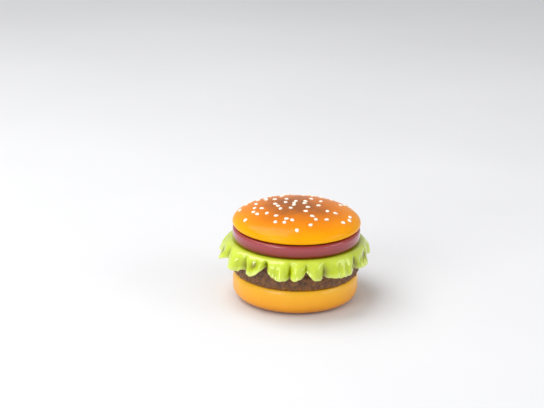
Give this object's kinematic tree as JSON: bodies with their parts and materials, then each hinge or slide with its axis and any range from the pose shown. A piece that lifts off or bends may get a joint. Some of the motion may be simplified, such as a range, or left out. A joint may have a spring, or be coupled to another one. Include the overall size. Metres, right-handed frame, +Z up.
{
  "type": "novelty shaped telephone",
  "caption": "Telephone shaped like a seeded burger, with a hinged top bun over a keypad.",
  "frame": {"origin": "on the table under the middle of the burger", "axes": "+Z up through the bun's crown, +Y to the lid's hinge, so -Y is the front where it opens"},
  "size_m": [0.139, 0.139, 0.0887],
  "materials": {
    "bun": "glossy, sprayed from orange-yellow to brown",
    "seed": "glossy cream",
    "tomato": "glossy brick red",
    "lettuce": "soft glossy vinyl, lime green",
    "patty": "textured brown",
    "heel": "glossy, orange-yellow",
    "deck_plastic": "glossy brick red",
    "key_plastic": "satin cream",
    "black_plastic": "matt black",
    "rubber": "matt",
    "membrane": "matt grey silicone",
    "steel": "bright zinc plated",
    "circuit_board": "green lacquer",
    "capsule": "satin",
    "cone": "paper-like",
    "gilt": "gilt",
    "wire": "insulated pair"
  },
  "bodies": {
    "base": {"tomato_ring": "tomato", "lettuce_leaf": "lettuce", "patty_ring": "patty", "bottom_bun_shell": "heel", "deck_plate": "deck_plastic", "buzzer": "black_plastic", "line_jack": "black_plastic", "dialler_chip": "black_plastic", "ringer_switch_body": "black_plastic", "tone_switch_body": "black_plastic", "hook_switch_body": "black_plastic", "rubber_feet": "rubber", "mic_boot": "rubber", "key_membrane": "membrane", "board_screws": "steel", "case_screws": "steel", "ballast_screws": "steel", "hinge_pin": "steel", "hook_spring": "steel", "ballast_plate": "steel", "main_board": "circuit_board", "mic_capsule": "capsule", "capacitors": "capsule", "jack_contacts": "gilt", "mic_lead": "wire", "buzzer_lead": "wire", "line_lead": "wire"},
    "lid": {"top_bun_shell": "bun", "sesame_seeds": "seed", "earpiece_plate": "deck_plastic", "lid_screws": "steel", "lid_bumpers": "rubber", "receiver_gasket": "rubber", "receiver_frame": "steel", "receiver_magnet": "steel", "receiver_cone": "cone", "receiver_clamp": "steel", "clamp_screws": "steel", "receiver_lead": "wire"},
    "key_1": {"key_1": "key_plastic"},
    "key_2": {"key_2": "key_plastic"},
    "key_3": {"key_3": "key_plastic"},
    "key_4": {"key_4": "key_plastic"},
    "key_5": {"key_5": "key_plastic"},
    "key_6": {"key_6": "key_plastic"},
    "key_7": {"key_7": "key_plastic"},
    "key_8": {"key_8": "key_plastic"},
    "key_9": {"key_9": "key_plastic"},
    "key_star": {"key_star": "key_plastic"},
    "key_0": {"key_0": "key_plastic"},
    "key_hash": {"key_hash": "key_plastic"},
    "key_redial": {"key_redial": "key_plastic"},
    "key_flash": {"key_flash": "key_plastic"},
    "hook_plunger": {"hook_plunger": "black_plastic"},
    "ringer_knob": {"ringer_knob": "black_plastic"},
    "tone_knob": {"tone_knob": "black_plastic"}
  },
  "joints": [
    {"name": "lid_hinge", "type": "hinge", "parent": "base", "child": "lid", "pos_m": [0, 0.0605, 0.0679], "axis": [-1, 0, 0], "range_deg": [0, 150]},
    {"name": "hook_slide", "type": "slide", "parent": "base", "child": "hook_plunger", "axis": [0, 0, 1], "range_m": [0, 0.0025], "deforming": ["hook_spring"]},
    {"name": "ringer_slide", "type": "slide", "parent": "base", "child": "ringer_knob", "axis": [1, 0, 0], "range_m": [-0.0025, 0.0025]},
    {"name": "tone_slide", "type": "slide", "parent": "base", "child": "tone_knob", "axis": [1, 0, 0], "range_m": [0, 0.004]},
    {"name": "key_1_press", "type": "slide", "parent": "base", "child": "key_1", "axis": [0, 0, -1], "range_m": [0, 0.001], "stiffness_N_per_m": 500, "springref_m": -0.0006, "deforming": ["key_membrane"]},
    {"name": "key_2_press", "type": "slide", "parent": "base", "child": "key_2", "axis": [0, 0, -1], "range_m": [0, 0.001], "stiffness_N_per_m": 500, "springref_m": -0.0006, "deforming": ["key_membrane"]},
    {"name": "key_3_press", "type": "slide", "parent": "base", "child": "key_3", "axis": [0, 0, -1], "range_m": [0, 0.001], "stiffness_N_per_m": 500, "springref_m": -0.0006, "deforming": ["key_membrane"]},
    {"name": "key_4_press", "type": "slide", "parent": "base", "child": "key_4", "axis": [0, 0, -1], "range_m": [0, 0.001], "stiffness_N_per_m": 500, "springref_m": -0.0006, "deforming": ["key_membrane"]},
    {"name": "key_5_press", "type": "slide", "parent": "base", "child": "key_5", "axis": [0, 0, -1], "range_m": [0, 0.001], "stiffness_N_per_m": 500, "springref_m": -0.0006, "deforming": ["key_membrane"]},
    {"name": "key_6_press", "type": "slide", "parent": "base", "child": "key_6", "axis": [0, 0, -1], "range_m": [0, 0.001], "stiffness_N_per_m": 500, "springref_m": -0.0006, "deforming": ["key_membrane"]},
    {"name": "key_7_press", "type": "slide", "parent": "base", "child": "key_7", "axis": [0, 0, -1], "range_m": [0, 0.001], "stiffness_N_per_m": 500, "springref_m": -0.0006, "deforming": ["key_membrane"]},
    {"name": "key_8_press", "type": "slide", "parent": "base", "child": "key_8", "axis": [0, 0, -1], "range_m": [0, 0.001], "stiffness_N_per_m": 500, "springref_m": -0.0006, "deforming": ["key_membrane"]},
    {"name": "key_9_press", "type": "slide", "parent": "base", "child": "key_9", "axis": [0, 0, -1], "range_m": [0, 0.001], "stiffness_N_per_m": 500, "springref_m": -0.0006, "deforming": ["key_membrane"]},
    {"name": "key_star_press", "type": "slide", "parent": "base", "child": "key_star", "axis": [0, 0, -1], "range_m": [0, 0.001], "stiffness_N_per_m": 500, "springref_m": -0.0006, "deforming": ["key_membrane"]},
    {"name": "key_0_press", "type": "slide", "parent": "base", "child": "key_0", "axis": [0, 0, -1], "range_m": [0, 0.001], "stiffness_N_per_m": 500, "springref_m": -0.0006, "deforming": ["key_membrane"]},
    {"name": "key_hash_press", "type": "slide", "parent": "base", "child": "key_hash", "axis": [0, 0, -1], "range_m": [0, 0.001], "stiffness_N_per_m": 500, "springref_m": -0.0006, "deforming": ["key_membrane"]},
    {"name": "key_redial_press", "type": "slide", "parent": "base", "child": "key_redial", "axis": [0, 0, -1], "range_m": [0, 0.001], "stiffness_N_per_m": 500, "springref_m": -0.0006, "deforming": ["key_membrane"]},
    {"name": "key_flash_press", "type": "slide", "parent": "base", "child": "key_flash", "axis": [0, 0, -1], "range_m": [0, 0.001], "stiffness_N_per_m": 500, "springref_m": -0.0006, "deforming": ["key_membrane"]}
  ],
  "couplings": [
    {"joint": "hook_slide", "follows": "lid_hinge", "m_per_rad": 0.00095}
  ]
}
